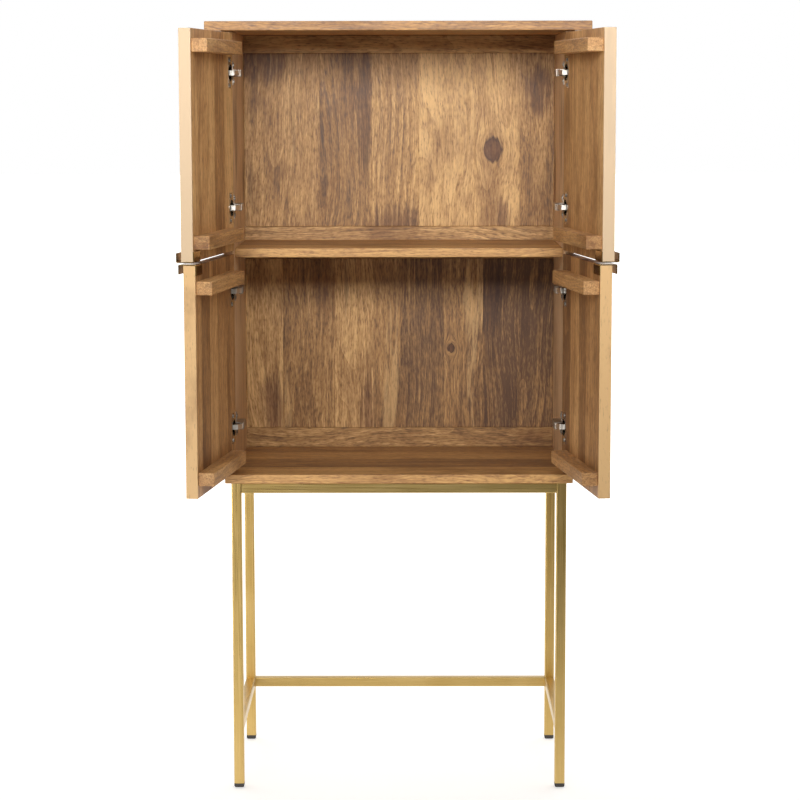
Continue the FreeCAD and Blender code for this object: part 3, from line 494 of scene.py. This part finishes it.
joint_places = {joint["name"]: np.array(joint["pos_m"]) for joint in frame["joints"]}
doors = {}
for seed, door in enumerate(DOORS, 31):
    level, side = door.split("_")
    angle = math.radians(OPEN[level])
    hand = -1 if side == "left" else 1
    out = np.array((-hand * math.cos(angle), -math.sin(angle), 0))
    under = np.array((hand * math.sin(angle), -math.cos(angle), 0))
    low, high = box_of(door + "_door_panel")
    hinge_edge = joint_places[door + "_door_swing"] - CUP_PIN_IN * out - CUP_PIN_UNDER * under
    hinge_edge[2] = low[2]
    cups = box_of(door + "_door_hinge_cups")
    hinges = (cups[0][2] + CUP_HALF_HEIGHT - low[2], cups[1][2] - CUP_HALF_HEIGHT - low[2])
    doors[door] = {"out": out, "under": under, "edge": hinge_edge, "low": low[2], "high": high[2]}
    pick = np.random.default_rng(seed)
    tones = [*pick.uniform(*DOOR_TONES_PAINTED_LIGHT_AND_SHADE[level], len(DOOR_PLANKS) - 1), LIPPING_TONE_PAINTED_LIGHT[level]]
    glued_board(door + "_door_wood", door + "_door_panel", door + "_door", door_wood,
                hinge_edge + DOOR_THICK / 2 * under, (Z, out, -under), high[2] - low[2], DOOR_PLANKS,
                DOOR_THICK, seed, tones, bores=[(z, CUP_MIDDLE) for z in hinges], ease=DOOR_EASE)

# Battens: one straight piece of mango each, glued across the inner face of a door, with their sawn
# ends towards the free edge.

BATTEN_DEPTH, BATTEN_HEIGHT = 0.030, 0.025
BATTEN_START, BATTEN_SHORT = 0.045, 0.006
BATTEN_LENGTH = DOOR_WIDTH - BATTEN_START - BATTEN_SHORT
BATTEN_TONE = 0.43
batten_wood = mango("mango_battens", "#d8ac70", "#b68654", "#7c5838")
for seed, (door, at) in enumerate(doors.items(), 41):
    for place in ("top", "bottom"):
        node = door + "_door_" + place + "_batten"
        start = at["edge"] + BATTEN_START * at["out"] - BATTEN_DEPTH / 2 * at["under"]
        start[2] = box_of(node)[0][2]
        glued_board(node + "_wood", node, door + "_door", batten_wood, start,
                    (at["out"], Z, at["under"]), BATTEN_LENGTH, [BATTEN_HEIGHT], BATTEN_DEPTH,
                    seed * 2 + len(place), [BATTEN_TONE])

# Handles: brass plate 2 mm thick, folded round the door's edge into a leaf on the inside, a web over
# the edge and a lip for the fingers outside, then brushed.

PLATE, GRIP_LENGTH, GRIP_END = 0.002, 0.050, 0.001
FINGER_GAP, LIP, LEAF = 0.008, 0.018, 0.018
BEND, BEND_POINTS = 0.0015, 7
SOFT = 0.0004


def folded_plate():
    """A rounded strip section carried along leaf, bend, web, bend and lip.

    Columns are along the door from the free edge, in from the door's inner face and in from its edge.
    """
    turn = np.linspace(0, np.pi / 2, BEND_POINTS)
    inside = -PLATE / 2
    outside = DOOR_THICK + FINGER_GAP + PLATE / 2
    foot = -PLATE / 2
    first = np.stack([inside + BEND * (1 - np.cos(turn)), foot + BEND * (1 - np.sin(turn))], -1)
    last = np.stack([outside - BEND * (1 - np.sin(turn)), foot + BEND * (1 - np.cos(turn))], -1)
    path = np.concatenate([[(inside, LEAF)], first, last, [(outside, LIP - PLATE)]])
    step = np.gradient(path, axis=0)
    step[0], step[-1] = (0, -1), (0, 1)
    step /= np.linalg.norm(step, axis=1, keepdims=True)
    normal = np.stack([step[:, 1], -step[:, 0]], -1)
    corner = np.repeat(np.arange(4), ARC_POINTS)
    angle = np.tile(np.linspace(0, np.pi / 2, ARC_POINTS), 4) + corner * np.pi / 2
    wide = np.where((corner == 0) | (corner == 3), 1, -1) * (GRIP_LENGTH / 2 - SOFT) + SOFT * np.cos(angle)
    deep = np.where(corner < 2, 1, -1) * (PLATE / 2 - SOFT) + SOFT * np.sin(angle)
    along = np.broadcast_to(wide + GRIP_END + GRIP_LENGTH / 2, (len(path), len(corner)))
    across = path[:, None] + deep[None, :, None] * normal[:, None]
    points = np.concatenate([along[..., None], across], -1)
    return (points.reshape(-1, 3), *wrapped(*points.shape[:2]))


# The brush went upright, in lines 1.1 mm apart that fade out over 17 mm, and left a sharper shine.
GRIP_HAIR, GRIP_FADE = 900.0, 60.0
GRIP_SHINE = 0.16
# The handles' brass is darker than the stand's: painted shade for lips that lie in shadow and mirror the
# dark door faces.
grip_brass_painted_shade = satin_brass("brushed_brass_plate_painted_shade", (GRIP_HAIR, GRIP_HAIR, GRIP_FADE),
                         ("#8a6c3a", "#b08f58"), GRIP_SHINE)
shape, corners, counts = folded_plate()
for door, at in doors.items():
    upper = door.startswith("upper")
    free = at["edge"] + DOOR_WIDTH * at["out"]
    free[2] = at["low"] if upper else at["high"]
    axes = np.array((-at["out"], at["under"], Z if upper else -Z))
    way = 1 if np.linalg.det(axes) > 0 else -1
    put(door + "_grip", door + "_door_handle", free + shape @ axes, corners[::way], counts[::way],
        grip_brass_painted_shade, door + "_door")

# Studio: white paper on the floor, which greys out well in front of the cabinet, and a white room that is
# darker in front. The paper also glows, more so further back, which is painted light: it keeps the floor
# white and lights the cabinet from below. A softbox hangs above the front and a weak one lies low to the
# left.

FLOOR = [(-30, -30, 0), (30, -30, 0), (30, 40, 0), (-30, 40, 0)]
floor_mesh = bpy.data.meshes.new("floor")
floor_mesh.from_pydata(FLOOR, [], [(0, 1, 2, 3)])
floor = bpy.data.objects.new("floor", floor_mesh)
bpy.context.scene.collection.objects.link(floor)
paper_with_painted_glow, tree, shader = new_finish("white_paper_floor_painted_glow")
place = add(tree, "TexCoord").outputs["Object"]
depth = add(tree, "SeparateXYZ", {"Vector": place}).outputs["Y"]
painted_floor_glow = add(tree, "MapRange", {"Value": depth, "From Min": 0.3, "From Max": 3.0,
                              "To Min": 0.45, "To Max": 1.0})
fade = add(tree, "MapRange", {"Value": depth, "From Min": -1.6, "From Max": -0.8})
white = add(tree, "Mix", {"Factor": fade, "A": linear("#8a8a88"), "B": linear("#f7f7f5")},
            data_type="RGBA")
painted_floor_light = add(tree, "Math", {0: painted_floor_glow, 1: fade}, operation="MULTIPLY")
wire(tree, shader, {"Base Color": white, "Roughness": 0.9, "Emission Color": (1, 1, 1, 1),
                    "Emission Strength": painted_floor_light})
floor_mesh.materials.append(paper_with_painted_glow)

world = bpy.data.worlds.new("white_room")
world.use_nodes = True
tree = world.node_tree
facing = add(tree, "TexCoord").outputs["Generated"]
depth = add(tree, "SeparateXYZ", {"Vector": facing}).outputs["Y"]
fade = add(tree, "MapRange", {"Value": depth, "From Min": -0.5, "From Max": 0.3,
                              "To Min": 0.2, "To Max": 1.0})
wire(tree, tree.nodes["Background"], {"Color": (1, 1, 1, 1), "Strength": fade})
bpy.context.scene.world = world
bpy.context.scene.view_settings.view_transform = "Standard"


def placed(right, up, back, spot):
    """The matrix, column by column, that turns an object's axes to right, up and back at a spot."""
    turn = np.eye(4)
    turn[:3] = np.column_stack([right, up, back, spot])
    return turn.T.tolist()


def soft_light(name, spot, target, size, power, spread):
    """A softbox at a spot, level, turned to a target; its size is wide and high, its spread in degrees."""
    lamp = bpy.data.lights.new(name, "AREA")
    lamp.shape = "RECTANGLE"
    lamp.size, lamp.size_y = size
    lamp.energy = power
    lamp.spread = math.radians(spread)
    holder = bpy.data.objects.new(name, lamp)
    bpy.context.scene.collection.objects.link(holder)
    aim = np.array(target) - np.array(spot)
    away = -aim / np.linalg.norm(aim)
    right = np.cross((0, 0, 1), away)
    right /= np.linalg.norm(right)
    holder.matrix_world = placed(right, np.cross(away, right), away, spot)


soft_light("front_softbox", (-0.1, -2.4, 1.95), (0, 0, 1.55), (2.0, 0.6), 14.5, 70)
soft_light("low_left_softbox", (-1.5, -2.5, 0.3), (-0.3, 0, 0.25), (1.1, 0.7), 1.7, 35)

# Camera: a long lens nearly 5 m in front of the cabinet, level with its upper bay and tipped down by
# 7 degrees, as in the photograph.

LENS_PIXELS, FRAME_PIXELS, SENSOR = 2390.0, 800.0, 36.0
YAW, PITCH, ROLL = (math.radians(angle) for angle in (-0.24, 7.15, -0.09))
CAMERA_RIGHT, CAMERA_BACK, CAMERA_HEIGHT = 0.022, 4.6908, 1.372
CAMERA_REACH = 100
side_front = box_of("left_side_panel")[0][1]
ahead = np.array((math.sin(YAW) * math.cos(PITCH), math.cos(YAW) * math.cos(PITCH), -math.sin(PITCH)))
right = np.array((math.cos(YAW), -math.sin(YAW), 0))
up = np.cross(right, ahead)
across = math.cos(ROLL) * right + math.sin(ROLL) * up
upward = math.cos(ROLL) * up - math.sin(ROLL) * right
lens = bpy.data.cameras.new("camera")
lens.sensor_width = SENSOR
lens.lens = LENS_PIXELS / FRAME_PIXELS * SENSOR
lens.clip_end = CAMERA_REACH
camera = bpy.data.objects.new("camera", lens)
bpy.context.scene.collection.objects.link(camera)
camera.matrix_world = placed(across, upward, -ahead,
                             (CAMERA_RIGHT, side_front - CAMERA_BACK, CAMERA_HEIGHT))
bpy.context.scene.camera = camera
